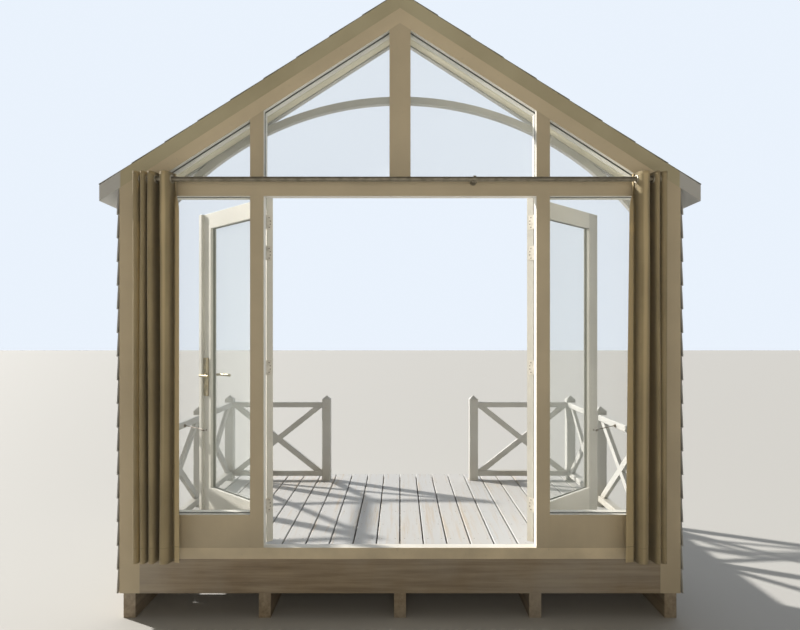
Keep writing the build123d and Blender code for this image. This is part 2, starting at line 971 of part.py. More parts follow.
def hook_point(side, along, level):
    """A point on the line of a hold-open hook, in the open leaf's frame."""
    return leaf_plane(side, level).from_local_coords((along, -side * hook_out, 0))


def add_hook_eye(side):
    """The eye on a leaf's outer face that the hook reaches."""
    shank_plane = lock_plane(side, leaf_front)
    drop = hook_level - lever_level
    for radius, length in (
        (eye_foot_radius, eye_foot_thickness),
        (eye_wire_radius, hook_stand - eye_ring_radius),
    ):
        with BuildSketch(shank_plane) as shank:
            with Locations((drop, 0)):
                Circle(radius)
        extrude(shank.sketch, amount=length)
    with BuildSketch(Plane(hook_point(side, lock_middle, hook_level), x_dir=(1, 0, 0))) as ring:
        Circle(eye_ring_radius + eye_wire_radius)
        Circle(eye_ring_radius - eye_wire_radius, mode=Mode.SUBTRACT)
    extrude(ring.sketch, amount=eye_ring_half_height, both=True)


with BuildPart() as left_hook_eye:
    add_hook_eye(left)
left_hook_eye.part.label = "left_hook_eye"

# Right leaf
right = 1
with BuildPart() as right_hook_eye:
    add_hook_eye(right)
right_hook_eye.part.label = "right_hook_eye"

# Hold-open hooks on the side rails, each with its tip turned down just past the eye
rod_level = hook_level + eye_ring_half_height + hook_clearance + hook_radius
tip_along = lock_middle - eye_ring_radius - eye_wire_radius - hook_clearance - hook_radius
with BuildPart() as door_hooks:
    for side in (left, right):
        rod_start = hook_point(side, staple_along, rod_level)
        with BuildLine() as rod_line:
            FilletPolyline(
                rod_start,
                hook_point(side, tip_along, rod_level),
                hook_point(side, tip_along, rod_level - hook_tip),
                radius=hook_bend,
            )
        with BuildSketch(Plane(origin=rod_line.line @ 0, z_dir=rod_line.line % 0)) as rod:
            Circle(hook_radius)
        sweep(rod.sketch, path=rod_line.line)
        for depth, width, height in (
            ((rail_face - staple_thickness, rail_face), staple_width, staple_height),
            ((staple_x, rail_face), boss_size, boss_size),
        ):
            bar(
                (side * depth[0], side * depth[1]),
                (rod_start.Y - width / 2, rod_start.Y + width / 2),
                (rod_level - height / 2, rod_level + height / 2),
            )
door_hooks.part.label = "door_hooks"

with BuildPart() as right_door_stiles:
    add_stiles(right)
right_door_stiles.part.label = "right_door_stiles"

with BuildPart() as right_door_rails:
    add_rails(right)
right_door_rails.part.label = "right_door_rails"

with BuildPart() as right_door_glass:
    add_leaf_glass(right)
right_door_glass.part.label = "right_door_glass"

with BuildPart() as right_door_beads:
    add_leaf_beads(right)
right_door_beads.part.label = "right_door_beads"

with BuildPart() as right_door_hinges:
    add_leaf_hinges(right)
right_door_hinges.part.label = "right_door_hinges"

pieces = [
    ground_bearers,
    deck_joists,
    deck_boards,
    floor_beam,
    sill,
    jambs,
    door_posts,
    transom,
    side_panels,
    king_mullion,
    gable_mullions,
    left_rafter,
    right_rafter,
    side_glass,
    gable_glass,
    glazing_beads,
    left_wall_end,
    right_wall_end,
    left_roof_panel,
    right_roof_panel,
    left_bargeboard,
    right_bargeboard,
    arch,
    veranda_posts,
    left_front_railing,
    right_front_railing,
    left_side_railing,
    right_side_railing,
    frame_hinges,
    bolt_keeps,
    door_hooks,
    curtain_pole,
    left_curtain,
    right_curtain,
    left_door_stiles,
    left_door_rails,
    left_door_glass,
    left_door_beads,
    left_door_hinges,
    left_door_astragal,
    left_lock_plates,
    left_hook_eye,
    left_door_lever,
    right_door_stiles,
    right_door_rails,
    right_door_glass,
    right_door_beads,
    right_door_hinges,
    right_hook_eye,
]
os.makedirs("parts", exist_ok=True)
for piece in pieces:
    export_step(piece.part, f"parts/{piece.part.label}.step")
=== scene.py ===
"""Finishes, small pieces and a stage for the gable front of a timber beach house."""

import math
import random

import bmesh
import bpy
from mathutils import Matrix, Vector, geometry


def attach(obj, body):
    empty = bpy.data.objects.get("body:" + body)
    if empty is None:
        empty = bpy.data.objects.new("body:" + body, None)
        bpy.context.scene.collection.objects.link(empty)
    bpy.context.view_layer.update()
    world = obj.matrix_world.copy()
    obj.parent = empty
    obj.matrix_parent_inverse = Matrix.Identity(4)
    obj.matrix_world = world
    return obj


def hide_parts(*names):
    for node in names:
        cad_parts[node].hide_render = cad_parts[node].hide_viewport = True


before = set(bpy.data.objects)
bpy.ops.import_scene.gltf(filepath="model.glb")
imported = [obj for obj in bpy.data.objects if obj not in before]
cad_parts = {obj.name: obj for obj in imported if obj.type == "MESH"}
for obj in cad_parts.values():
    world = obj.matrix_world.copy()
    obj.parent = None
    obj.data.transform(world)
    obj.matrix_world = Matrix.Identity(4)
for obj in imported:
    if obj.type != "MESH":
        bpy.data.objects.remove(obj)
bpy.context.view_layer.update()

bl_info = {
    "name": "Beach House Gable",
    "version": (1, 0, 0),
    "blender": (4, 5, 0),
    "location": "3D View > Sidebar > Gable",
    "description": "Paints a timber gable front and adds its curtains, trim and small metalwork",
    "category": "Add Mesh",
}

# Places on the building, in metres
DECK = 0.320
BOARD_PITCH = 0.154
BOARD_GAP = 0.009
BOARDS_EACH_SIDE = 11
JOIST_FIRST = 0.0895
JOIST_LAST = 2.2805
JOISTS = 8
INNER_FACE = -0.057
OUTER_FACE = 0.057
VERGE_FACE = 0.303
HALF_ROOM = 1.550
WALL_OUTER = 1.670
ROOF_EDGE = 1.790
RIDGE = 3.630
SLOPE = 0.995 / 1.550
PITCH = math.atan(SLOPE)
RAFTER_DROP = 0.075 / math.cos(PITCH)
ROOF_RISE = 0.080 / math.cos(PITCH)
DOOR_HALF = 0.8125
POST_OUTER = 0.8925
JAMB_INNER = 1.470
KING_HALF = 0.0625
PANEL_TOP = 0.612
TRANSOM_LOW = 2.511
TRANSOM_HIGH = 2.611
GLASS_BACK = -0.024
GLASS_FRONT = 0.0
SPACER_RECESS = 0.003
REBATE = 0.015
SILL_TOP = 0.416
HEAD_REBATE = 2.536

# Each side's sign in X and its name
SIDES = ((-1, "left"), (1, "right"))

# Door leaves: the place of the hinge pin, then sizes along an open leaf from its hinge and out of it
HINGE_X = 0.825
HINGE_Y = 0.065
LEAF_TURN = math.radians(135)
LEAF_NEAR = 0.0025
LEAF_FAR = 0.8225
LEAF_FOOT = 0.406
LEAF_TOP = 2.531
LEAF_FRONT = -0.008
LEAF_BACK = -0.053
STILE = 0.115
TOP_RAIL = 0.105
BOTTOM_RAIL = 0.212
LEAF_GLASS_BACK = LEAF_FRONT - 0.036
LEAF_GLASS_FRONT = LEAF_FRONT - 0.020
LEAF_SPACER_SHARE = 0.55
LOCK_MIDDLE = 0.765
LEVER_LEVEL = 1.400
HINGE_LEVELS = (0.634, 1.482, 2.188, 2.378)

# Weather seal in the door rebate
SEAL_WIDTH = 0.008
SEAL_BACK = 0.007
SEAL_FRONT = 0.0095

# Screws. Those of a hinge flap are given by level and by how far back they are from its front row
DECK_SCREW_INSET = 0.028
WALL_CLEARANCE = 0.02
SCREW_LIFT = 0.0001
STRAY_ACROSS = 0.002
STRAY_ALONG = 0.003
HINGE_SCREWS = ((-0.030, 0.0), (-0.010, 0.008), (0.010, 0.008), (0.030, 0.0))
LEAF_FLAP_ROW = -0.024
POST_FLAP_ROW = OUTER_FACE - 0.016
FLAP_FACE = 0.0009
HINGE_SCREW_RADIUS = 0.0036
LOCK_SCREW_LEVELS = (LEVER_LEVEL + 0.108, LEVER_LEVEL - 0.132)
LOCK_PLATE_FACE = 0.0081
LOCK_SCREW_RADIUS = 0.0045

# Curtains and their pole
POLE_Y = -0.137
POLE_LEVEL = 2.591
CURTAIN_FOOT = 0.362
CURTAIN_TOP = 2.629
CURTAIN_ROWS = 90
CLOTH_THICKNESS = 0.0014
THREAD = 0.0022
FOOT_HEM = 0.092
HEM_WIDTH = 0.026
EYELET_ROLL = 0.0042
EYELET_INSET = 0.0055
FOLD_DEPTH = 0.048
VALLEY_DEPTH = 0.045
FOLD_ROUNDNESS = 0.17
FOLD_STEPS = 6
FOLD_PROFILE = ((-1.0, -0.40), (-0.62, -0.86), (0.0, -1.0), (0.62, -0.86), (1.0, -0.40))
DRIFT = 0.007
SWAY = 0.0035
CREASE = 0.0016

# The leading hem's swing below the pole: its start and length as shares of the curtain's height, and
# how far the hem's tip and root move aside, and back or into the room
SWING_START = 0.030
SWING_LENGTH = 0.065
TIP_ASIDE = 0.026
ROOT_ASIDE = 0.0065
TIP_BACK = 0.014
ROOT_FORWARD = 0.044

# Leading edge, and the middle and half width of each fold of a curtain, from the room's middle
LEFT_EDGE = ((1.3155, 0.018), (1.3185, 0.044))
LEFT_FOLDS = ((1.361, 0.030), (1.442, 0.020), (1.487, 0.016), (1.530, 0.017))
RIGHT_EDGE = ((1.3665, 0.018), (1.3685, 0.044))
RIGHT_FOLDS = ((1.412, 0.033), (1.489, 0.016), (1.530, 0.017))

# Boards under the verge, lapped boards and corner strip of the wall ends, and strips on the roof. The
# clearance keeps two faces out of one plane
CLEARANCE = 0.001
SOFFIT_BOARDS = 3
SOFFIT_GAP = 0.0024
SOFFIT_LOW = -0.0088
SOFFIT_HIGH = -0.0003
SOFFIT_RIDGE_GAP = 0.004
SOFFIT_EAVES_GAP = 0.002
COURSES = 17
CLADDING_FOOT = 0.150
CLADDING_END_GAP = 0.012
CLADDING_LIFT = 0.0005
COURSE_LAP = 0.006
COURSE_LEAN = 0.008
COURSE_THICKNESS = 0.009
CORNER_BACK = 0.002
CORNER_OUT = 0.022
CORNER_DEPTH = 0.032
CORNER_BELOW = 0.004
ROOF_STRIPS = 9
STRIP_START = 0.02
STRIP_MARGIN = 0.03
STRIP_LAP = 0.012
STRIP_LEAN = 0.004
STRIP_THICKNESS = 0.0042
RIDGE_STRIP = 0.085
RIDGE_STRIP_LOW = 0.0050
RIDGE_STRIP_HIGH = 0.0080

# What a paint's colour is multiplied by: in its darker cloudy patches, as painted shade on the right leaf,
# as painted light on the rafters and on the sill, and on the duller cladding
PAINT_SHADOW = 0.84
DOOR_SHADOW = 0.86
RIGHT_LEAF_PAINTED_SHADE = 0.80
RAFTER_PAINTED_LIGHT = 1.17
SILL_PAINTED_LIGHT = 1.42
CLADDING_TONE = 0.76

# Depths over which the frame's paint gives way to that of its reveals, and that to its outer face's. The
# reveals' lighter colour is partly a paler coat and partly painted light from the deck and the outside
REVEAL_DEPTHS = (-0.054, -0.050)
OUTER_DEPTHS = (0.050, 0.055)

# Bare sawn timber and its dark grain
BARE_TIMBER = (0.42, 0.33, 0.22)
BARE_GRAIN = (0.24, 0.18, 0.12)

# Turns that lay a finish's grain along a timber
LEVEL = (0.0, 0.0, 0.0)
UPRIGHT = (0.0, math.radians(90), 0.0)
OUTWARD = (0.0, 0.0, math.radians(90))
LEFT_SLOPE = (0.0, PITCH, 0.0)
RIGHT_SLOPE = (0.0, -PITCH, 0.0)
ALONG_LEFT_LEAF = (0.0, 0.0, math.radians(45))
ALONG_RIGHT_LEAF = (0.0, 0.0, math.radians(-45))

# Stage
FLOOR_HALF = 60.0
SKY = ((0.25, (0.155, 0.14, 0.115)), (0.52, (0.25, 0.25, 0.24)), (0.85, (0.82, 0.89, 0.98)))
FILL_PLACE = Vector((0, -6.2, 2.3))
FILL_TARGET = Vector((0, 0, 1.8))
CAMERA_PLACE = (0.0, -3.727, 1.689)
CAMERA_SHIFT = 0.02375


def ceiling(x):
    """Height of the ceiling plane at a distance from the ridge."""
    return RIDGE - SLOPE * abs(x)


def rafter_edge(x):
    """Height of a rafter's lower edge at a distance from the ridge."""
    return ceiling(x) - RAFTER_DROP


def toned(colour, share):
    """A colour made darker or lighter."""
    return tuple(min(1.0, part * share) for part in colour)


class Value:
    """A shader socket that can be added, subtracted, multiplied and divided."""

    def __init__(self, nodes, socket):
        self.nodes = nodes
        self.socket = socket

    def maths(self, operation, *operands):
        """A Math node on the given operands, or on this value alone."""
        return self.nodes.node("ShaderNodeMath", operands or (self,), operation=operation)

    def __add__(self, other):
        return self.maths("ADD", self, other)

    __radd__ = __add__

    def __sub__(self, other):
        return self.maths("SUBTRACT", self, other)

    def __rsub__(self, other):
        return self.maths("SUBTRACT", other, self)

    def __mul__(self, other):
        return self.maths("MULTIPLY", self, other)

    __rmul__ = __mul__

    def __truediv__(self, other):
        return self.maths("DIVIDE", self, other)

    def __rtruediv__(self, other):
        return self.maths("DIVIDE", other, self)


class Nodes:
    """A tree of shader nodes, and the tools to add to it."""

    def __init__(self, tree):
        self.tree = tree

    def node(self, kind, sockets=(), result=0, stops=None, **settings):
        """Add a node, set it up, feed its sockets and give back one of its outputs."""
        made = self.tree.nodes.new(kind)
        for key, value in settings.items():
            setattr(made, key, value)
        if stops:
            while len(made.color_ramp.elements) < len(stops):
                made.color_ramp.elements.new(1.0)
            for element, (place, colour) in zip(made.color_ramp.elements, stops):
                element.position = place
                element.color = (*colour, 1.0)
        pairs = sockets.items() if isinstance(sockets, dict) else enumerate(sockets)
        for key, value in pairs:
            self.feed(made.inputs[key], value)
        return Value(self, made.outputs[result])

    def feed(self, socket, value):
        """Link or set one socket."""
        if isinstance(value, Value):
            self.tree.links.new(value.socket, socket)
        elif hasattr(value, "__len__") and len(value) == 3 and len(socket.default_value) == 4:
            socket.default_value = (*value, 1.0)
        else:
            socket.default_value = value

    def axes(self, vector):
        """The three parts of a vector."""
        parts = self.node("ShaderNodeSeparateXYZ", {"Vector": vector})
        outputs = parts.socket.node.outputs
        return [Value(self, outputs[axis]) for axis in ("X", "Y", "Z")]

    def vector(self, x, y, z):
        """A vector made of three values."""
        return self.node("ShaderNodeCombineXYZ", {"X": x, "Y": y, "Z": z})


class Finish(Nodes):
    """A material with a Principled shader, and the tools to vary it over the surface."""

    def __init__(self, name):
        self.material = bpy.data.materials.new(name)
        self.material.use_nodes = True
        super().__init__(self.material.node_tree)
        self.shader = self.tree.nodes["Principled BSDF"]
        self.output = self.tree.nodes["Material Output"]

    def place(self, scale=(1, 1, 1), turn=(0, 0, 0)):
        """Object coordinates, turned and stretched."""
        where = self.node("ShaderNodeTexCoord", result="Object")
        turned = self.node("ShaderNodeMapping", {"Vector": where, "Rotation": turn})
        return self.node("ShaderNodeMapping", {"Vector": turned, "Scale": scale})

    def noise(self, vector, scale, detail=3.0, roughness=0.5):
        """Cloudy noise from 0 to 1."""
        return self.node(
            "ShaderNodeTexNoise",
            {"Vector": vector, "Scale": scale, "Detail": detail, "Roughness": roughness},
        )

    def spread(self, value, low, high):
        """A smooth step from 0 to 1 between two values."""
        return self.node(
            "ShaderNodeMapRange", {0: value, 1: low, 2: high}, interpolation_type="SMOOTHSTEP"
        )

    def blend(self, factor, first, second):
        """A mix of two colours."""
        return self.node("ShaderNodeMix", {0: factor, 6: first, 7: second}, result=2, data_type="RGBA")

    def relief(self, height, distance, strength, edge=0.0):
        """A bump, over edges that look slightly rounded."""
        sockets = {"Height": height, "Distance": distance, "Strength": strength}
        if edge:
            sockets["Normal"] = self.node("ShaderNodeBevel", {"Radius": edge}, samples=4)
        return self.node("ShaderNodeBump", sockets)

    def shade(self, **sockets):
        """Set or link the Principled shader's sockets."""
        for key, value in sockets.items():
            self.feed(self.shader.inputs[key.replace("_", " ")], value)
        return self.material


def painted_timber(name, colour, shadow, turn, roughness=0.42, wear=0.35, outer_coats=None):
    """Satin paint brushed along the timber, with faint grain, dirt and rubbed spots.

    The outer coats are the colours of the reveals and of the outer face; the reveals' is partly painted
    light."""
    finish = Finish(name)
    along = finish.place(scale=(0.6, 14.0, 14.0), turn=turn)
    fine = finish.place(scale=(3.0, 160.0, 160.0), turn=turn)
    plain = finish.place()
    brush = finish.noise(fine, 1.0, detail=4.0, roughness=0.6)
    grain = finish.noise(along, 1.0, detail=5.0, roughness=0.55)
    cloud = finish.noise(plain, 2.2, detail=4.0)
    specks = finish.spread(finish.noise(plain, 38.0, detail=5.0), 0.62, 0.78)
    tone = finish.blend(finish.spread(cloud, 0.3, 0.72), colour, shadow)
    tone = finish.blend(finish.spread(grain, 0.35, 0.8) * 0.3, tone, shadow)
    depth, height = finish.axes(plain)[1:]
    if outer_coats:
        reveal, face = outer_coats
        # the reveals' lighter colour: partly a paler coat, partly painted light
        tone = finish.blend(finish.spread(depth, *REVEAL_DEPTHS), tone, reveal)
        tone = finish.blend(finish.spread(depth, *OUTER_DEPTHS), tone, face)
    splash = finish.spread(height, 0.62, 0.36) * finish.spread(cloud, 0.3, 0.7) * 0.45
    tone = finish.blend(splash, tone, (0.42, 0.36, 0.26))
    tone = finish.blend(specks * wear, tone, (0.50, 0.43, 0.31))
    gloss = roughness + 0.16 * brush + 0.12 * specks
    bump = finish.relief(brush * 0.5 + grain + specks * -0.4, 0.0009, 0.45, edge=0.0022)
    return finish.shade(Base_Color=tone, Roughness=gloss, Normal=bump)


def weathered_timber(name, colour, dark, turn):
    """Bare sawn timber, greyed, with open grain and saw marks."""
    finish = Finish(name)
    along = finish.place(scale=(1.0, 22.0, 22.0), turn=turn)
    across = finish.place(scale=(90.0, 3.0, 3.0), turn=turn)
    plain = finish.place()
    grain = finish.noise(along, 1.6, detail=8.0, roughness=0.65)
    saw = finish.noise(across, 1.0, detail=2.0)
    cloud = finish.noise(plain, 1.7, detail=5.0)
    tone = finish.blend(finish.spread(grain, 0.3, 0.72), colour, dark)
    tone = finish.blend(finish.spread(cloud, 0.35, 0.75) * 0.5, tone, (0.46, 0.43, 0.38))
    bump = finish.relief(grain + saw * 0.3, 0.0022, 0.7, edge=0.002)
    return finish.shade(Base_Color=tone, Roughness=0.72 + 0.2 * grain, Normal=bump)


def whitewashed_deck(name, wash, wood):
    """Deck boards with worn whitewash: grain along each board, and a tone of its own for each."""
    finish = Finish(name)
    plain = finish.place()
    x, y, z = finish.axes(plain)
    board = (x / BOARD_PITCH).maths("FLOOR")
    own = finish.node("ShaderNodeTexWhiteNoise", {"W": board}, noise_dimensions="1D")
    shifted = finish.vector(x * 26.0, y * 1.1 + own * 9.0, z * 26.0)
    rings = finish.noise(shifted, 1.4, detail=9.0, roughness=0.62)
    streak = finish.vector(x * 210.0, y * 5.0 + own * 3.0, z * 90.0)
    fibre = finish.noise(streak, 1.0, detail=4.0)
    trodden = finish.noise(plain, 1.3, detail=4.0)
    bare = finish.spread(rings * 0.75 + fibre * 0.25 + trodden * 0.25, 0.62, 0.84)
    tone = finish.blend(bare * 0.6, wash, wood)
    tone = finish.blend(own * 0.22, tone, (0.55, 0.50, 0.43))
    drawn_out = finish.vector(x * 7.0, y * 1.5 + own * 5.0, z)
    knots = finish.node("ShaderNodeTexVoronoi", {"Vector": drawn_out}, feature="F1")
    knot = finish.spread(knots, 0.11, 0.03)
    tone = finish.blend(knot * 0.55, tone, (0.30, 0.23, 0.16))
    bump = finish.relief(rings * 0.8 + fibre * 0.5 - knot * 0.4, 0.0018, 0.7, edge=0.0018)
    gloss = 0.56 + 0.25 * bare + 0.08 * fibre
    return finish.shade(Base_Color=tone, Roughness=gloss, Normal=bump)


def boarded(name, colour, shadow, width, outside, reach):
    """Painted boards side by side in depth, with a groove line between them, and another paint outside.

    The reach is the axis and the two distances over which the outer paint takes over."""
    finish = Finish(name)
    plain = finish.place()
    step = finish.axes(plain)[1] / width
    from_joint = (step.maths("FRACT") - 0.5).maths("ABSOLUTE")
    groove = finish.spread(from_joint, 0.455, 0.49)
    brush = finish.noise(finish.place(scale=(2.0, 90.0, 90.0)), 1.0, detail=4.0)
    cloud = finish.noise(plain, 1.9, detail=4.0)
    tone = finish.blend(finish.spread(cloud, 0.3, 0.75), colour, shadow)
    tone = finish.blend(groove * 0.75, tone, (0.24, 0.20, 0.13))
    axis, start, end = reach
    distance = finish.axes(plain)[axis].maths("ABSOLUTE")
    beyond = finish.spread(distance, start, end)
    tone = finish.blend(beyond, tone, outside)
    groove = groove * (1 - beyond)
    bump = finish.relief(brush * 0.1 - groove, 0.003, 0.8)
    return finish.shade(Base_Color=tone, Roughness=0.5 + 0.2 * brush, Normal=bump)


def clear_glass():
    """Clear glass of a sealed unit."""
    finish = Finish("clear_glass")
    smear = finish.noise(finish.place(), 2.4, detail=3.0)
    haze = 0.02 + 0.05 * finish.spread(smear, 0.45, 0.8)
    finish.shade(IOR=1.5, Specular_IOR_Level=1.0)
    return finish.shade(Base_Color=(0.80, 0.88, 0.85), Roughness=haze, Alpha=0.10)


def metal(name, colour, tarnish, metallic, roughness=0.36):
    """Handled metal with tarnish and small scratches."""
    finish = Finish(name)
    cloud = finish.spread(finish.noise(finish.place(), 26.0, detail=6.0), 0.35, 0.7)
    drawn_out = finish.place(scale=(1.0, 1.0, 0.08))
    scratch = finish.spread(finish.noise(drawn_out, 420.0, detail=2.0), 0.6, 0.75)
    tone = finish.blend(cloud, colour, tarnish)
    gloss = roughness + 0.25 * cloud + 0.1 * scratch
    bump = finish.relief(cloud * 0.5 - scratch * 0.4, 0.0003, 0.5, edge=0.0008)
    return finish.shade(Base_Color=tone, Roughness=gloss, Metallic=metallic, Normal=bump)


def woven_cloth(colour):
    """Plain-woven cloth with slubs, letting some light through; painted shade in fold valleys, painted
    highlights on crests and hem.
    """
    finish = Finish("curtain_cloth")
    where = finish.node("ShaderNodeTexCoord", result="UV")
    along, up = finish.axes(where)[:2]
    turns = 2 * math.pi / THREAD
    weave = (along * turns).maths("SINE") * (up * turns).maths("SINE")
    upright = finish.node("ShaderNodeMapping", {"Vector": where, "Scale": (520.0, 9.0, 1.0)})
    level = finish.node("ShaderNodeMapping", {"Vector": where, "Scale": (14.0, 480.0, 1.0)})
    slub = finish.noise(upright, 1.0, detail=3.0) * 0.5 + finish.noise(level, 1.0, detail=3.0) * 0.5
    plain = finish.place()
    cloud = finish.noise(plain, 3.0, detail=4.0)
    dark = toned(colour, 0.70)
    painted_fold_shade = toned(colour, 0.45)
    pale = toned(colour, 1.35)
    painted_highlight = toned(colour, 1.7)
    depth = finish.axes(plain)[1]
    tone = finish.blend(finish.spread(cloud, 0.3, 0.75), colour, dark)
    # painted shade: the cloth darkens toward the back, where the folds' valleys lie
    tone = finish.blend(finish.spread(depth, POLE_Y - 0.045, POLE_Y), tone, painted_fold_shade)
    # painted highlight on the crests of the folds
    tone = finish.blend(finish.spread(depth, POLE_Y - 0.044, POLE_Y - 0.0485) * 0.85, tone, painted_highlight)
    tone = finish.blend(finish.spread(weave, -0.2, 1.0) * 0.35, tone, pale)
    tone = finish.blend(finish.spread(slub, 0.52, 0.68) * 0.4, tone, pale)
    # painted highlight along the leading hem, as if lit from behind
    tone = finish.blend(finish.spread(along, HEM_WIDTH, HEM_WIDTH - 0.004) * 0.7, tone, painted_highlight)
    stitches = finish.spread((up - FOOT_HEM).maths("ABSOLUTE"), 0.0035, 0.0015)
    tone = finish.blend(stitches * 0.6, tone, dark)
    bump = finish.relief(weave * 0.5 + slub - stitches, 0.0007, 0.6)
    finish.shade(Base_Color=tone, Roughness=0.88 + 0.08 * slub, Normal=bump, Sheen_Weight=0.2)
    face = Value(finish, finish.shader.outputs[0])
    glow = finish.node("ShaderNodeBsdfTranslucent", {"Color": pale})
    mixed = finish.node("ShaderNodeMixShader", {0: 0.25, 1: face, 2: glow})
    finish.feed(finish.output.inputs["Surface"], mixed)
    return finish.material


def rubber(name, colour):
    """Dull rubber of a seal or of a glass unit's spacer."""
    finish = Finish(name)
    grain = finish.noise(finish.place(), 300.0, detail=3.0)
    tone = finish.blend(grain, colour, toned(colour, 0.7))
    return finish.shade(Base_Color=tone, Roughness=0.55 + 0.2 * grain)


def coat(obj, material):
    """Give an object one material."""
    obj.data.materials.clear()
    obj.data.materials.append(material)


def piece(name, bm, material, body="frame", smooth=False):
    """Make a finished mesh object that rides on a body."""
    bmesh.ops.recalc_face_normals(bm, faces=bm.faces)
    mesh = bpy.data.meshes.new(name)
    bm.to_mesh(mesh)
    bm.free()
    made = bpy.data.objects.new(name, mesh)
    bpy.context.scene.collection.objects.link(made)
    if smooth:
        mesh.shade_smooth()
    coat(made, material)
    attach(made, body)
    return made


def block(bm, corner, opposite, matrix=Matrix.Identity(4), edge=0.0):
    """A squared piece between two opposite corners, with eased edges."""
    corner = Vector(corner)
    opposite = Vector(opposite)
    size = opposite - corner
    scale = Matrix.Diagonal((abs(size.x), abs(size.y), abs(size.z), 1.0))
    placed = matrix @ Matrix.Translation((corner + opposite) / 2) @ scale
    made = bmesh.ops.create_cube(bm, size=1.0, matrix=placed)
    if edge:
        edges = list({link for vertex in made["verts"] for link in vertex.link_edges})
        bmesh.ops.bevel(
            bm, geom=edges, offset=edge, segments=2, affect="EDGES", profile=0.5, material=-1
        )


def screw(bm, place, radius):
    """A low screw head with a driver recess; the place matrix's third axis points out of it."""
    made = bmesh.ops.create_circle(bm, cap_ends=True, segments=12, radius=radius, matrix=place)
    head = list({face for vertex in made["verts"] for face in vertex.link_faces})
    for width, rise in ((0.25, 0.16), (0.30, 0.05), (0.08, -0.14)):
        bmesh.ops.inset_region(
            bm, faces=head, thickness=radius * width, depth=radius * rise,
            use_boundary=True, use_even_offset=True,
        )


def facing(place, out):
    """A matrix at a place whose third axis points out."""
    out = Vector(out).normalized()
    side = Vector((0, 0, 1)).cross(out)
    if side.length < 1e-4:
        side = Vector((1, 0, 0))
    side.normalize()
    matrix = Matrix((side, out.cross(side), out)).transposed().to_4x4()
    return Matrix.Translation(place) @ matrix


def leaf_frame(side):
    """An open leaf's own frame: along it from the hinge, out of its outer face, and up."""
    along = Vector((-side * math.cos(LEAF_TURN), math.sin(LEAF_TURN), 0))
    out = Vector((side * along.y, -side * along.x, 0))
    matrix = Matrix((along, out, Vector((0, 0, 1)))).transposed().to_4x4()
    return Matrix.Translation((side * HINGE_X, HINGE_Y, 0)) @ matrix


def fixed_lights():
    """Outlines of the fixed lights in X and Z: beside the doors, by the king post, at the eaves."""
    tip = (RIDGE - RAFTER_DROP - TRANSOM_HIGH) / SLOPE
    right = [
        [
            (POST_OUTER, PANEL_TOP), (JAMB_INNER, PANEL_TOP),
            (JAMB_INNER, TRANSOM_LOW), (POST_OUTER, TRANSOM_LOW),
        ],
        [
            (KING_HALF, TRANSOM_HIGH), (DOOR_HALF, TRANSOM_HIGH),
            (DOOR_HALF, rafter_edge(DOOR_HALF)), (KING_HALF, rafter_edge(KING_HALF)),
        ],
        [(POST_OUTER, TRANSOM_HIGH), (tip, TRANSOM_HIGH), (POST_OUTER, rafter_edge(POST_OUTER))],
    ]
    return right + [[(-x, z) for x, z in reversed(outline)] for outline in right]


def ring_frame(bm, outline, width, back, front, matrix=Matrix.Identity(4)):
    """A flat frame just inside an outline, run from one depth to another.

    Known fault: the width has no effect. The new face has no normal yet when it is inset, so the inner
    outline lies on the outer one, and only the walls between the two depths have any area."""
    corners = [bm.verts.new(matrix @ Vector((x, back, z))) for x, z in outline]
    face = bm.faces.new(corners)
    made = bmesh.ops.inset_region(
        bm, faces=[face], thickness=width, use_boundary=True, use_even_offset=True
    )
    bmesh.ops.delete(bm, geom=[face], context="FACES_ONLY")
    grown = bmesh.ops.extrude_face_region(bm, geom=made["faces"])
    moved = [item for item in grown["geom"] if isinstance(item, bmesh.types.BMVert)]
    step = matrix.to_3x3() @ Vector((0, front - back, 0))
    bmesh.ops.translate(bm, verts=moved, vec=step)


class PaintSettings(bpy.types.PropertyGroup):
    """Colours of the paint, the whitewash and the metalwork."""

    frame_colour: bpy.props.FloatVectorProperty(
        name="Frame", description="Paint of the glazed frame", subtype="COLOR",
        size=3, min=0, max=1, default=(0.63, 0.53, 0.365),
    )
    # The reveals' colour is partly a paler coat and partly painted light from the deck and the outside
    reveal_colour: bpy.props.FloatVectorProperty(
        name="Reveals", description="Paint of the glazed frame from its edges outwards", subtype="COLOR",
        size=3, min=0, max=1, default=(0.80, 0.78, 0.72),
    )
    door_colour: bpy.props.FloatVectorProperty(
        name="Doors", description="Paint of the door leaves", subtype="COLOR",
        size=3, min=0, max=1, default=(0.80, 0.775, 0.70),
    )
    outside_colour: bpy.props.FloatVectorProperty(
        name="Outside", description="Paint of the outer side, arch and railings", subtype="COLOR",
        size=3, min=0, max=1, default=(0.55, 0.545, 0.52),
    )
    wash_colour: bpy.props.FloatVectorProperty(
        name="Deck wash", description="Whitewash on the deck boards", subtype="COLOR",
        size=3, min=0, max=1, default=(0.48, 0.478, 0.475),
    )
    metal_colour: bpy.props.FloatVectorProperty(
        name="Metalwork", description="Lock plates, lever and keeps", subtype="COLOR",
        size=3, min=0, max=1, default=(0.36, 0.29, 0.15),
    )


class CurtainSettings(bpy.types.PropertyGroup):
    """Cloth and eyelets of the curtains."""

    cloth_colour: bpy.props.FloatVectorProperty(
        name="Cloth", description="Colour of the curtain cloth", subtype="COLOR",
        size=3, min=0, max=1, default=(0.50, 0.41, 0.245),
    )
    looseness: bpy.props.FloatProperty(
        name="Looseness", description="How much shallower the folds are at the foot",
        subtype="FACTOR", default=0.16, min=0.0, max=0.5,
    )
    eyelet: bpy.props.FloatProperty(
        name="Eyelet", description="Outer radius of an eyelet", subtype="DISTANCE",
        unit="LENGTH", default=0.0255, min=0.02, max=0.035,
    )


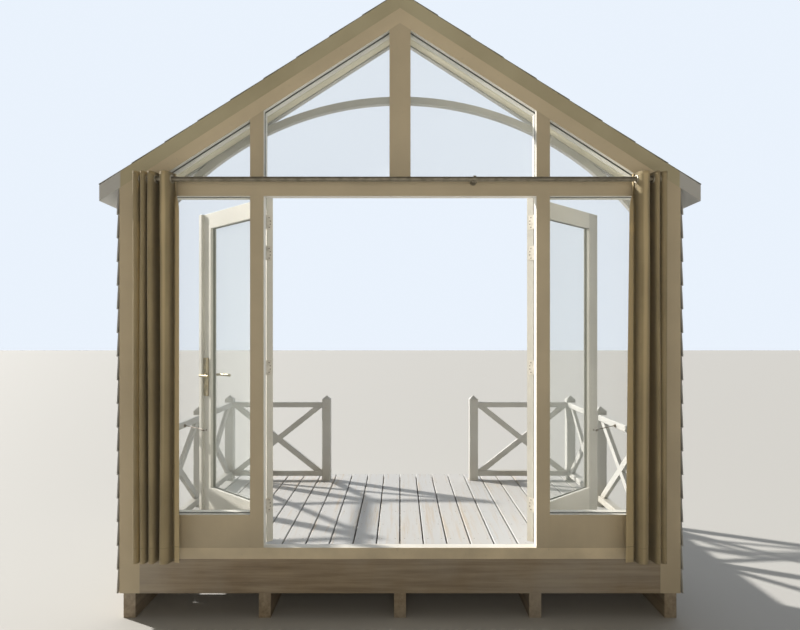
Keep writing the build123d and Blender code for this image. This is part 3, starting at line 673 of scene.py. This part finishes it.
class TrimSettings(bpy.types.PropertyGroup):
    """Small pieces of trim and fixings."""

    screw_radius: bpy.props.FloatProperty(
        name="Screw", description="Radius of a deck screw head", subtype="DISTANCE",
        unit="LENGTH", default=0.0042, min=0.002, max=0.008,
    )
    spacer_width: bpy.props.FloatProperty(
        name="Spacer", description="Meant width of the strip round a fixed pane, without effect yet",
        subtype="DISTANCE", unit="LENGTH", default=0.007, min=0.003, max=0.015,
    )


class StageSettings(bpy.types.PropertyGroup):
    """Light and view."""

    sun_angle: bpy.props.FloatProperty(
        name="Sun bearing", description="Plan angle that the key light comes from",
        subtype="ANGLE", default=math.radians(151),
    )
    sun_height: bpy.props.FloatProperty(
        name="Sun height", description="Angle of the key light above the horizon",
        subtype="ANGLE", default=math.radians(25),
    )
    lens: bpy.props.FloatProperty(
        name="Lens", description="Focal length in millimetres", default=27.75, min=10, max=80
    )


class GABLE_OT_paint(bpy.types.Operator):
    """Give every solid of the building its paint, timber, metal or glass"""

    bl_idname = "gable.paint"
    bl_label = "Paint the Building"

    def execute(self, context):
        paint = context.scene.gable_paint
        frame_tone = tuple(paint.frame_colour)
        frame_dark = toned(frame_tone, PAINT_SHADOW)
        # Painted light: the rafters and the sill get lighter copies of the frame's paint
        frame_painted_light = toned(frame_tone, RAFTER_PAINTED_LIGHT)
        sill_lit_tone = toned(frame_tone, SILL_PAINTED_LIGHT)
        left_tone = tuple(paint.door_colour)
        left_dark = toned(left_tone, DOOR_SHADOW)
        # Painted shade: the right leaf gets a darker copy of the same door paint
        right_shaded_tone = toned(left_tone, RIGHT_LEAF_PAINTED_SHADE)
        right_shaded_dark = toned(left_dark, RIGHT_LEAF_PAINTED_SHADE)
        outer_tone = tuple(paint.outside_colour)
        outer_dark = toned(outer_tone, PAINT_SHADOW)
        coats_out = (tuple(paint.reveal_colour), outer_tone)
        finishes = {
            "deck": whitewashed_deck("whitewashed_deck", tuple(paint.wash_colour), (0.46, 0.36, 0.25)),
            "base_along": weathered_timber("base_along", BARE_TIMBER, BARE_GRAIN, OUTWARD),
            "base_level": weathered_timber("base_level", BARE_TIMBER, BARE_GRAIN, LEVEL),
            "wall": boarded(
                "wall_boards", frame_tone, frame_dark, 0.14, outer_tone, (1, 0.058, 0.064)
            ),
            "roof": boarded(
                "roof_panel_boards", (0.56, 0.50, 0.33), (0.44, 0.38, 0.24), 0.082,
                outer_tone, (0, 1.66, 1.67),
            ),
            "glass": clear_glass(),
            "brass": metal("aged_brass", tuple(paint.metal_colour), (0.24, 0.19, 0.10), metallic=0.65),
            "zinc": metal("satin_zinc", (0.78, 0.74, 0.66), (0.60, 0.56, 0.48), metallic=0.25),
            "iron": metal(
                "brown_iron", (0.20, 0.16, 0.12), (0.13, 0.10, 0.075), metallic=0.4, roughness=0.5
            ),
            "bronze": metal(
                "dark_bronze", (0.27, 0.245, 0.19), (0.20, 0.175, 0.13), metallic=0.6, roughness=0.32
            ),
        }
        for name, tone, dark, turn in (
            ("frame_upright", frame_tone, frame_dark, UPRIGHT),
            ("frame_level", frame_tone, frame_dark, LEVEL),
            # painted light on the sill, standing in for light from the floor
            ("sill_painted_light", sill_lit_tone, frame_painted_light, LEVEL),
            # painted light on the rafters
            ("lit_left_rafter_paint", frame_painted_light, frame_tone, LEFT_SLOPE),
            ("lit_right_rafter_paint", frame_painted_light, frame_tone, RIGHT_SLOPE),
        ):
            finishes[name] = painted_timber(name, tone, dark, turn, outer_coats=coats_out)
        for name, tone, dark, turn in (
            ("left_door_upright", left_tone, left_dark, UPRIGHT),
            # painted shade on the right leaf's uprights
            ("shaded_right_door_upright", right_shaded_tone, right_shaded_dark, UPRIGHT),
            ("left_door_level", left_tone, left_dark, ALONG_LEFT_LEAF),
            ("right_door_level", left_tone, left_dark, ALONG_RIGHT_LEAF),
        ):
            finishes[name] = painted_timber(name, tone, dark, turn, roughness=0.36)
        for name, turn in (
            ("outer_upright", UPRIGHT),
            ("outer_level", LEVEL),
            ("outer_along", OUTWARD),
            ("barge_left", LEFT_SLOPE),
            ("barge_right", RIGHT_SLOPE),
        ):
            finishes[name] = painted_timber(
                name, outer_tone, outer_dark, turn, roughness=0.5, wear=0.5
            )
        coats = {
            "frame_upright": ("jambs", "door_posts", "side_panels", "king_mullion", "gable_mullions"),
            "frame_level": ("transom", "glazing_beads"),
            "sill_painted_light": ("sill",),
            "lit_left_rafter_paint": ("left_rafter",),
            "lit_right_rafter_paint": ("right_rafter",),
            "left_door_upright": ("left_door_stiles", "left_door_astragal", "left_door_beads"),
            "shaded_right_door_upright": ("right_door_stiles", "right_door_beads"),
            "left_door_level": ("left_door_rails",),
            "right_door_level": ("right_door_rails",),
            "outer_upright": ("veranda_posts",),
            "outer_level": ("arch", "left_front_railing", "right_front_railing"),
            "outer_along": ("left_side_railing", "right_side_railing"),
            "barge_left": ("left_bargeboard",),
            "barge_right": ("right_bargeboard",),
            "deck": ("deck_boards",),
            "base_along": ("ground_bearers",),
            "base_level": ("deck_joists", "floor_beam"),
            "wall": ("left_wall_end", "right_wall_end"),
            "roof": ("left_roof_panel", "right_roof_panel"),
            "glass": ("side_glass", "gable_glass", "left_door_glass", "right_door_glass"),
            "brass": ("bolt_keeps", "left_lock_plates", "left_door_lever"),
            "zinc": ("frame_hinges", "left_door_hinges", "right_door_hinges"),
            "iron": ("door_hooks", "left_hook_eye", "right_hook_eye"),
            "bronze": ("curtain_pole",),
        }
        for finish, nodes in coats.items():
            for node in nodes:
                coat(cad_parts[node], finishes[finish])
        return {"FINISHED"}


class GABLE_OT_glass_spacers(bpy.types.Operator):
    """Add the spacer strips round every pane: dark in the fixed lights, olive in the leaves"""

    bl_idname = "gable.glass_spacers"
    bl_label = "Add Glass Spacers"

    def execute(self, context):
        width = context.scene.gable_trim.spacer_width
        dark = rubber("dark_spacer", (0.075, 0.072, 0.060))
        olive = rubber("olive_spacer", (0.29, 0.28, 0.21))
        bm = bmesh.new()
        for outline in fixed_lights():
            ring_frame(bm, outline, width, GLASS_BACK + SPACER_RECESS, GLASS_FRONT - SPACER_RECESS)
        piece("fixed_light_spacers", bm, dark)
        near = LEAF_NEAR + STILE
        far = LEAF_FAR - STILE
        low = LEAF_FOOT + BOTTOM_RAIL
        high = LEAF_TOP - TOP_RAIL
        outline = [(near, low), (far, low), (far, high), (near, high)]
        for side, name in SIDES:
            body = name + "_door"
            bm = bmesh.new()
            ring_frame(
                bm, outline, width * LEAF_SPACER_SHARE, LEAF_GLASS_BACK, LEAF_GLASS_FRONT, leaf_frame(side)
            )
            piece(body + "_spacers", bm, olive, body)
        return {"FINISHED"}


class GABLE_OT_seals(bpy.types.Operator):
    """Add the weather seal in the door rebate"""

    bl_idname = "gable.seals"
    bl_label = "Add Weather Seal"

    def execute(self, context):
        black = rubber("black_seal", (0.045, 0.042, 0.036))
        half = DOOR_HALF + REBATE
        low = SILL_TOP - REBATE
        outline = [(-half, low), (half, low), (half, HEAD_REBATE), (-half, HEAD_REBATE)]
        bm = bmesh.new()
        ring_frame(bm, outline, SEAL_WIDTH, SEAL_BACK, SEAL_FRONT)
        piece("door_seal", bm, black)
        return {"FINISHED"}


def fold_line(edge, folds):
    """Points of a hanging fold line: rounded folds toward the room, with valleys behind.

    A narrow fold is shallower than a wide one."""
    points = list(edge)
    for number, (middle, half) in enumerate(folds):
        if number:
            before, width = folds[number - 1]
            points.append(((before + width + middle - half) / 2, VALLEY_DEPTH))
        depth = FOLD_DEPTH * min(1.0, 0.70 + 10 * half)
        for across, out in FOLD_PROFILE:
            points.append((middle + half * across, depth * out))
    return points


def smooth_line(points):
    """A smooth line through points, as many short steps of Blender's own Bezier curve."""
    knots = [Vector((x, y, 0)) for x, y in points]
    line = []
    for number in range(len(knots) - 1):
        here, there = knots[number], knots[number + 1]
        before = knots[max(number - 1, 0)]
        after = knots[min(number + 2, len(knots) - 1)]
        leaving = here + (there - before) * FOLD_ROUNDNESS
        arriving = there - (after - here) * FOLD_ROUNDNESS
        part = geometry.interpolate_bezier(here, leaving, arriving, there, FOLD_STEPS)
        line += part if number == 0 else part[1:]
    return line


def hung_point(line, travel, column, height, looseness, lean, flare):
    """A point of the cloth: column counts along its fold line, height runs from foot to top.

    The leading hem lies behind the pole at the top, and swings into the room below it."""
    point = line[column]
    share = travel[column] / travel[-1]
    fall = 1 - height
    free = fall * (1 - 0.6 * fall)
    drift = DRIFT * math.sin(9.0 * share + lean) * free
    sway = SWAY * math.sin(4.2 * height + 7.0 * share + lean) * min(1.0, 4 * fall)
    crease = CREASE * math.sin(31.0 * height + 17.0 * share) * math.exp(-9.0 * fall)
    depth = 1 - looseness * fall * (0.6 + 0.4 * math.sin(13.0 * share + lean))
    edge = min(1.0, 0.2 + 4.0 * share, 0.2 + 4.0 * (1 - share))
    loose = min(1.0, max(0.0, (fall - SWING_START) / SWING_LENGTH))
    swing = loose * loose * (3 - 2 * loose)
    tip = max(0.0, 1 - travel[column] / HEM_WIDTH)
    root = min(1.0, max(0.0, 2 - travel[column] / HEM_WIDTH))
    aside = (TIP_ASIDE * tip + ROOT_ASIDE * root) * swing + flare * tip * fall
    forward = (ROOT_FORWARD * root - TIP_BACK * tip) * swing
    x = point.x + (drift + sway) * edge - aside
    return x, POLE_Y + point.y * depth + crease - forward


def hung_cloth(side, line, travel, looseness, lean, flare):
    """A sheet of cloth along a fold line, with its own width and height as its UV map."""
    columns = len(line) - 1
    drop = CURTAIN_TOP - CURTAIN_FOOT
    bm = bmesh.new()
    bmesh.ops.create_grid(bm, x_segments=columns, y_segments=CURTAIN_ROWS, size=0.5)
    uv = bm.loops.layers.uv.new("cloth")
    for face in bm.faces:
        for loop in face.loops:
            column = round((loop.vert.co.x + 0.5) * columns)
            loop[uv].uv = (travel[column], (loop.vert.co.y + 0.5) * drop)
    for vertex in bm.verts:
        column = round((vertex.co.x + 0.5) * columns)
        height = vertex.co.y + 0.5
        x, y = hung_point(line, travel, column, height, looseness, lean, flare)
        vertex.co = (side * x, y, CURTAIN_FOOT + height * drop)
    return bm


def eyelet(bm, side, before, after, radius):
    """A rolled ring round the pole, where the fold line crosses it between two points."""
    share = before.y / (before.y - after.y)
    across = before.x + (after.x - before.x) * share
    tangent = Vector((side * (after.x - before.x), after.y - before.y, 0))
    centre = Vector((side * across, POLE_Y, POLE_LEVEL))
    place = facing(centre, tangent.cross(Vector((0, 0, 1))))
    ring = bmesh.ops.create_circle(
        bm, segments=10, radius=EYELET_ROLL,
        matrix=place @ Matrix.Translation((radius - EYELET_INSET, 0, 0))
        @ Matrix.Rotation(math.radians(90), 4, "X") @ Matrix.Diagonal((1.3, 0.75, 1, 1)),
    )
    edges = list({edge for vertex in ring["verts"] for edge in vertex.link_edges})
    bmesh.ops.spin(
        bm, geom=ring["verts"] + edges, cent=centre,
        axis=place.to_3x3() @ Vector((0, 0, 1)), angle=2 * math.pi, steps=28,
        use_merge=True, use_duplicate=False,
    )


class GABLE_OT_curtains(bpy.types.Operator):
    """Hang the two gathered curtains from their eyelets in place of the plain solids"""

    bl_idname = "gable.curtains"
    bl_label = "Hang the Curtains"

    def execute(self, context):
        settings = context.scene.gable_curtains
        cloth = woven_cloth(tuple(settings.cloth_colour))
        steel = metal(
            "eyelet_metal", (0.60, 0.56, 0.47), (0.40, 0.36, 0.28), metallic=0.7, roughness=0.38
        )
        for side, name, edge, folds, lean, flare in (
            (-1, "left", LEFT_EDGE, LEFT_FOLDS, 0.9, 0.004),
            (1, "right", RIGHT_EDGE, RIGHT_FOLDS, 2.6, 0.026),
        ):
            line = smooth_line(fold_line(edge, folds))
            travel = [0.0]
            for before, after in zip(line, line[1:]):
                travel.append(travel[-1] + (after - before).length)
            bm = hung_cloth(side, line, travel, settings.looseness, lean, flare)
            made = piece(name + "_gathered_curtain", bm, cloth, smooth=True)
            solid = made.modifiers.new("thickness", "SOLIDIFY")
            solid.thickness = CLOTH_THICKNESS
            solid.offset = 0.0
            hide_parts(name + "_curtain")
            rings = bmesh.new()
            for before, after in zip(line, line[1:]):
                if before.y * after.y < 0:
                    eyelet(rings, side, before, after, settings.eyelet)
            eyelets = piece(name + "_eyelets", rings, steel, smooth=True)
        return {"FINISHED"}


class GABLE_OT_screws(bpy.types.Operator):
    """Add the screws of the deck, hinges and lock plates"""

    bl_idname = "gable.screws"
    bl_label = "Add Screws"

    def execute(self, context):
        radius = context.scene.gable_trim.screw_radius
        steel = metal(
            "screw_steel", (0.36, 0.34, 0.30), (0.20, 0.18, 0.15), metallic=0.8, roughness=0.4
        )
        brass = metal(
            "screw_brass", (0.15, 0.12, 0.08), (0.08, 0.065, 0.045), metallic=0.6, roughness=0.4
        )
        chance = random.Random(7)
        bm = bmesh.new()
        spacing = (JOIST_LAST - JOIST_FIRST) / (JOISTS - 1)
        insets = (DECK_SCREW_INSET, BOARD_PITCH - BOARD_GAP - DECK_SCREW_INSET)
        for side in (-1, 1):
            for board in range(BOARDS_EACH_SIDE):
                near = BOARD_GAP / 2 + board * BOARD_PITCH
                by_wall = near + BOARD_PITCH > HALF_ROOM - WALL_CLEARANCE
                for joist in range(JOISTS):
                    y = JOIST_FIRST + joist * spacing
                    if by_wall and y < VERGE_FACE + WALL_CLEARANCE:
                        continue
                    for inset in insets:
                        x = side * (near + inset) + chance.uniform(-STRAY_ACROSS, STRAY_ACROSS)
                        stray = chance.uniform(-STRAY_ALONG, STRAY_ALONG)
                        place = Vector((x, y + stray, DECK + SCREW_LIFT))
                        screw(bm, facing(place, (0, 0, 1)), radius)
        piece("deck_screws", bm, steel)
        for side, name in SIDES:
            body = name + "_door"
            leaf = leaf_frame(side)
            bm = bmesh.new()
            for level in HINGE_LEVELS:
                for drop, back in HINGE_SCREWS:
                    point = leaf @ Vector((FLAP_FACE, LEAF_FLAP_ROW - back, level + drop))
                    place = facing(point, leaf.to_3x3() @ Vector((-1, 0, 0)))
                    screw(bm, place, HINGE_SCREW_RADIUS)
            piece(body + "_hinge_screws", bm, brass, body)
            bm = bmesh.new()
            for level in HINGE_LEVELS:
                for drop, back in HINGE_SCREWS:
                    point = Vector((side * (HINGE_X + FLAP_FACE), POST_FLAP_ROW - back, level + drop))
                    screw(bm, facing(point, (-side, 0, 0)), HINGE_SCREW_RADIUS)
            piece(name + "_post_hinge_screws", bm, brass)
        bm = bmesh.new()
        leaf = leaf_frame(-1)
        for out, direction in ((LEAF_FRONT + LOCK_PLATE_FACE, 1), (LEAF_BACK - LOCK_PLATE_FACE, -1)):
            for level in LOCK_SCREW_LEVELS:
                point = leaf @ Vector((LOCK_MIDDLE, out, level))
                place = facing(point, leaf.to_3x3() @ Vector((0, direction, 0)))
                screw(bm, place, LOCK_SCREW_RADIUS)
        piece("lock_plate_screws", bm, brass, "left_door")
        return {"FINISHED"}


class GABLE_OT_soffit(bpy.types.Operator):
    """Board the underside of the roof's overhang"""

    bl_idname = "gable.soffit"
    bl_label = "Board the Soffit"

    def execute(self, context):
        tone = (0.86, 0.81, 0.64)
        dark = (0.70, 0.65, 0.49)
        width = (VERGE_FACE - OUTER_FACE) / SOFFIT_BOARDS
        length = HALF_ROOM / math.cos(PITCH)
        for side, name in SIDES:
            turn = (0, -side * PITCH, 0)
            paint = painted_timber(name + "_soffit_paint", tone, dark, turn, roughness=0.5, wear=0.3)
            slope = Matrix.Translation((0, 0, RIDGE)) @ Matrix.Rotation(side * PITCH, 4, "Y")
            bm = bmesh.new()
            for number in range(SOFFIT_BOARDS):
                back = OUTER_FACE + number * width + SOFFIT_GAP / 2
                top = (side * SOFFIT_RIDGE_GAP, back, SOFFIT_LOW)
                foot = (side * (length - SOFFIT_EAVES_GAP), back + width - SOFFIT_GAP, SOFFIT_HIGH)
                block(bm, top, foot, slope, edge=0.0025)
            piece(name + "_soffit_boards", bm, paint)
        return {"FINISHED"}


class GABLE_OT_cladding(bpy.types.Operator):
    """Clad the wall ends with lapped boards and cover the roof with lapped strips"""

    bl_idname = "gable.cladding"
    bl_label = "Clad Walls and Roof"

    def execute(self, context):
        tone = toned(context.scene.gable_paint.outside_colour, CLADDING_TONE)
        dark = toned(tone, PAINT_SHADOW)
        paint = painted_timber("cladding_paint", tone, dark, OUTWARD, roughness=0.5, wear=0.5)
        top = ceiling(WALL_OUTER) - CLADDING_END_GAP
        course = (top - CLADDING_FOOT) / COURSES
        for side, name in SIDES:
            lean = Matrix.Rotation(-side * math.atan(COURSE_LEAN / course), 4, "Y")
            bm = bmesh.new()
            for number in range(COURSES):
                level = CLADDING_FOOT + number * course + course
                turned = Matrix.Translation((side * (WALL_OUTER + CLADDING_LIFT), 0, level)) @ lean
                foot = (0.0, INNER_FACE + CLEARANCE, -course - COURSE_LAP)
                head = (side * COURSE_THICKNESS, VERGE_FACE - CLADDING_END_GAP, -CLEARANCE)
                block(bm, foot, head, turned, edge=0.0015)
            level = CLADDING_FOOT - CORNER_BELOW
            foot = (side * (WALL_OUTER - CORNER_BACK), VERGE_FACE - CORNER_DEPTH, level)
            head = (side * (WALL_OUTER + CORNER_OUT), VERGE_FACE - CLEARANCE, top)
            block(bm, foot, head, edge=0.002)
            piece(name + "_cladding", bm, paint)
        felt = weathered_timber("roof_strips", (0.34, 0.33, 0.30), (0.24, 0.23, 0.21), OUTWARD)
        step = (ROOF_EDGE / math.cos(PITCH) - STRIP_MARGIN) / ROOF_STRIPS
        for side, name in SIDES:
            slope = Matrix.Translation((0, 0, RIDGE + ROOF_RISE)) @ Matrix.Rotation(side * PITCH, 4, "Y")
            lean = Matrix.Rotation(-side * math.atan(STRIP_LEAN / step), 4, "Y")
            bm = bmesh.new()
            for number in range(ROOF_STRIPS):
                start = STRIP_START + number * step
                turned = slope @ Matrix.Translation((side * start, 0, CLADDING_LIFT)) @ lean
                top = (0.0, INNER_FACE + CLEARANCE * 2, 0.0)
                foot = (side * (step + STRIP_LAP), VERGE_FACE - CLEARANCE, STRIP_THICKNESS)
                block(bm, top, foot, turned, edge=0.001)
            top = (0.0, INNER_FACE + CLEARANCE, RIDGE_STRIP_LOW)
            foot = (side * RIDGE_STRIP, VERGE_FACE - CLEARANCE / 2, RIDGE_STRIP_HIGH)
            block(bm, top, foot, slope, edge=0.001)
            piece(name + "_roof_strips", bm, felt)
        return {"FINISHED"}


class GABLE_OT_stage(bpy.types.Operator):
    """Make the floor, the lights and the camera"""

    bl_idname = "gable.stage"
    bl_label = "Set the Stage"

    def execute(self, context):
        settings = context.scene.gable_stage
        scene = context.scene
        bm = bmesh.new()
        bmesh.ops.create_grid(bm, x_segments=1, y_segments=1, size=FLOOR_HALF)
        mesh = bpy.data.meshes.new("stage_floor")
        bm.to_mesh(mesh)
        bm.free()
        floor = bpy.data.objects.new("stage_floor", mesh)
        scene.collection.objects.link(floor)
        plain = Finish("stage_floor")
        coat(floor, plain.shade(Base_Color=(0.52, 0.51, 0.49), Roughness=0.85))
        world = bpy.data.worlds.new("studio")
        scene.world = world
        world.use_nodes = True
        sky = Nodes(world.node_tree)
        across = sky.axes(sky.node("ShaderNodeTexCoord", result="Generated"))[1]
        share = sky.node("ShaderNodeMapRange", {0: across, 1: -1.0})
        colour = sky.node("ShaderNodeValToRGB", {0: share}, stops=SKY)
        background = world.node_tree.nodes["Background"]
        sky.feed(background.inputs["Color"], colour)
        sky.feed(background.inputs["Strength"], 1.0)
        scene.view_settings.view_transform = "Standard"
        sun = bpy.data.lights.new("key", "SUN")
        sun.energy = 6.5
        sun.angle = math.radians(2.0)
        sun.color = (1.0, 0.965, 0.90)
        key = bpy.data.objects.new("key", sun)
        scene.collection.objects.link(key)
        toward = Vector((
            math.cos(settings.sun_angle) * math.cos(settings.sun_height),
            math.sin(settings.sun_angle) * math.cos(settings.sun_height),
            math.sin(settings.sun_height),
        ))
        key.rotation_euler = toward.to_track_quat("Z", "Y").to_euler()
        lamp = bpy.data.lights.new("room_fill", "AREA")
        lamp.size = 2.0
        lamp.energy = 42
        lamp.color = (1.0, 0.93, 0.80)
        fill = bpy.data.objects.new("room_fill", lamp)
        fill.location = FILL_PLACE
        fill.rotation_euler = (FILL_PLACE - FILL_TARGET).to_track_quat("Z", "Y").to_euler()
        fill.visible_camera = False
        scene.collection.objects.link(fill)
        camera = bpy.data.cameras.new("view")
        camera.lens = settings.lens
        camera.sensor_width = 36.0
        camera.shift_y = CAMERA_SHIFT
        camera.clip_end = 200.0
        eye = bpy.data.objects.new("view", camera)
        eye.location = CAMERA_PLACE
        eye.rotation_euler = (math.radians(90), 0, 0)
        scene.collection.objects.link(eye)
        scene.camera = eye
        return {"FINISHED"}


STEPS = (
    GABLE_OT_paint,
    GABLE_OT_glass_spacers,
    GABLE_OT_seals,
    GABLE_OT_curtains,
    GABLE_OT_screws,
    GABLE_OT_soffit,
    GABLE_OT_cladding,
    GABLE_OT_stage,
)

GROUPS = {
    "gable_paint": PaintSettings,
    "gable_curtains": CurtainSettings,
    "gable_trim": TrimSettings,
    "gable_stage": StageSettings,
}


class GABLE_PT_panel(bpy.types.Panel):
    """Steps and settings of the gable front"""

    bl_idname = "GABLE_PT_panel"
    bl_label = "Beach House Gable"
    bl_space_type = "VIEW_3D"
    bl_region_type = "UI"
    bl_category = "Gable"

    def draw(self, context):
        for step in STEPS:
            self.layout.operator(step.bl_idname)
        for name in GROUPS:
            settings = getattr(context.scene, name)
            for key in settings.__annotations__:
                self.layout.prop(settings, key)


def register():
    """Register the settings, the steps and the panel."""
    for group in GROUPS.values():
        bpy.utils.register_class(group)
    for name, group in GROUPS.items():
        setattr(bpy.types.Scene, name, bpy.props.PointerProperty(type=group))
    for item in (*STEPS, GABLE_PT_panel):
        bpy.utils.register_class(item)


def unregister():
    """Take the panel, the steps and the settings away again."""
    for item in reversed((*STEPS, GABLE_PT_panel)):
        bpy.utils.unregister_class(item)
    for name, group in GROUPS.items():
        delattr(bpy.types.Scene, name)
        bpy.utils.unregister_class(group)


def main():
    """Run every step in order."""
    register()
    for step in STEPS:
        group, name = step.bl_idname.split(".")
        getattr(getattr(bpy.ops, group), name)()


if __name__ == "__main__":
    main()
